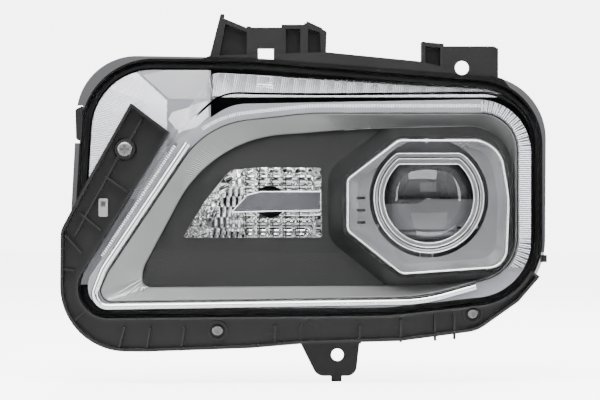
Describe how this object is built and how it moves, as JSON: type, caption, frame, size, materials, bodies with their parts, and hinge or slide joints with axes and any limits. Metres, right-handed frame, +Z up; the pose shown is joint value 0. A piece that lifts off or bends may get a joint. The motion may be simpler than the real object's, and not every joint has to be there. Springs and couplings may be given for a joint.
{
  "type": "car headlight assembly",
  "caption": "Left-hand car headlight with clear bowed lens, ribbed trim, faceted side reflector, aimable projector with tilting cut-off shutter and rear service caps.",
  "frame": {"origin": "centre of the lower fixing tab's bolt hole, on the tab's front face", "axes": "+X outboard (to the right seen from the front), +Z up, the lens faces -Y"},
  "size_m": [0.3411, 0.1917, 0.2593],
  "materials": {
    "black_housing": "textured black polypropylene",
    "clear_lens": "clear hard-coated polycarbonate",
    "sealant": "black butyl sealant",
    "zinc_steel": "bright zinc plate",
    "grey_clip": "grey acetal",
    "satin_carrier": "satin metallised",
    "light_guide": "clear acrylic light guide",
    "satin_grey": "satin grey moulding",
    "black_panel": "fine-grained black",
    "smoked_bezel": "smoked metallised gloss",
    "reflector_chrome": "vacuum metallised mirror",
    "dark_chrome": "dark chrome",
    "optic_glass": "polished optical glass",
    "amber_glass": "tinted bulb glass",
    "cast_frame": "die-cast",
    "shutter_steel": "blackened steel",
    "board_green": "solder-masked board",
    "bulb_plastic": "dark heat-resistant plastic",
    "seal_rubber": "soft rubber",
    "contact_brass": "tinned brass"
  },
  "bodies": {
    "lamp_body": {"housing": "black_housing", "outer_lens": "clear_lens", "lens_sealant": "sealant", "retainer_bracket": "black_housing", "bracket_screws": "zinc_steel", "bracket_clip": "grey_clip", "light_guide_carrier": "satin_carrier", "light_bar": "light_guide", "prism_strip": "light_guide", "outboard_light_guide": "light_guide", "ribbed_trim": "satin_grey", "upper_fluted_trim": "satin_carrier", "corner_trim": "satin_carrier", "bezel_panel": "black_panel", "projector_bezel": "smoked_bezel", "drl_board": "board_green", "drl_heat_sink": "cast_frame", "drl_screws": "zinc_steel", "pivot_studs": "zinc_steel", "adjuster_housing": "black_housing", "adjuster_screws": "zinc_steel", "side_reflector": "reflector_chrome", "centre_bar": "dark_chrome", "vent_elbows": "seal_rubber", "connector_socket": "black_housing", "connector_pins": "contact_brass"},
    "projector": {"aim_carrier": "cast_frame", "pivot_sockets": "grey_clip", "rod_socket": "grey_clip", "lens_holder": "smoked_bezel", "lens_trim_ring": "smoked_bezel", "projector_lens": "optic_glass", "shutter_frame": "cast_frame", "shutter_pin": "zinc_steel", "shutter_spring": "zinc_steel", "solenoid": "shutter_steel", "projector_reflector": "reflector_chrome", "projector_screws": "zinc_steel"},
    "shutter": {"cutoff_shutter": "shutter_steel"},
    "plunger": {"solenoid_plunger": "zinc_steel"},
    "bulb": {"bulb_base": "bulb_plastic", "bulb_seal": "seal_rubber", "low_beam_bulb": "optic_glass"},
    "rod": {"aim_rod": "zinc_steel"},
    "gear": {"adjuster_gear": "grey_clip"},
    "shaft": {"adjuster_shaft": "grey_clip"},
    "service_cap": {"rear_cap": "black_housing", "rear_cap_gasket": "seal_rubber"},
    "turn_bulb": {"side_bulb_holder": "bulb_plastic", "side_bulb_seal": "seal_rubber", "side_bulb": "amber_glass"}
  },
  "joints": [
    {"name": "aim_pitch", "type": "hinge", "parent": "lamp_body", "child": "projector", "pos_m": [0.063, 0.02, 0.152], "axis": [1, 0, 0], "range_deg": [-2, 2]},
    {"name": "aim_rod_slide", "type": "slide", "parent": "lamp_body", "child": "rod", "axis": [0, 1, 0], "range_m": [-0.0029, 0.0029]},
    {"name": "gear_spin", "type": "hinge", "parent": "lamp_body", "child": "gear", "pos_m": [0.001, 0.1125, 0.072], "axis": [0, 1, 0], "range_deg": [-675, 675]},
    {"name": "adjuster_shaft_spin", "type": "hinge", "parent": "lamp_body", "child": "shaft", "pos_m": [0.001, 0.1125, 0.1], "axis": [0, 0, 1], "range_deg": [-1080, 1080]},
    {"name": "shutter_tilt", "type": "hinge", "parent": "projector", "child": "shutter", "pos_m": [0.0632, 0.007, 0.0947], "axis": [-1, 0, 0], "range_deg": [0, 20], "stiffness_Nm_per_rad": 0.02, "springref_deg": -17.19},
    {"name": "plunger_slide", "type": "slide", "parent": "projector", "child": "plunger", "axis": [0, -1, 0], "range_m": [0, 0.0088]},
    {"name": "bulb_twist", "type": "hinge", "parent": "projector", "child": "bulb", "pos_m": [0.0632, 0.08, 0.1107], "axis": [0, 1, 0], "range_deg": [0, 45]},
    {"name": "rear_cap_twist", "type": "hinge", "parent": "lamp_body", "child": "service_cap", "pos_m": [0.0632, 0.117, 0.1107], "axis": [0, 1, 0], "range_deg": [0, 35]},
    {"name": "side_bulb_twist", "type": "hinge", "parent": "lamp_body", "child": "turn_bulb", "pos_m": [-0.048, 0.117, 0.108], "axis": [0, 1, 0], "range_deg": [0, 45]}
  ],
  "couplings": [
    {"joint": "aim_rod_slide", "follows": "aim_pitch", "m_per_rad": 0.08},
    {"joint": "gear_spin", "follows": "aim_pitch", "ratio": 335.1},
    {"joint": "adjuster_shaft_spin", "follows": "aim_pitch", "ratio": -536.2},
    {"joint": "plunger_slide", "follows": "shutter_tilt", "m_per_rad": 0.025}
  ]
}
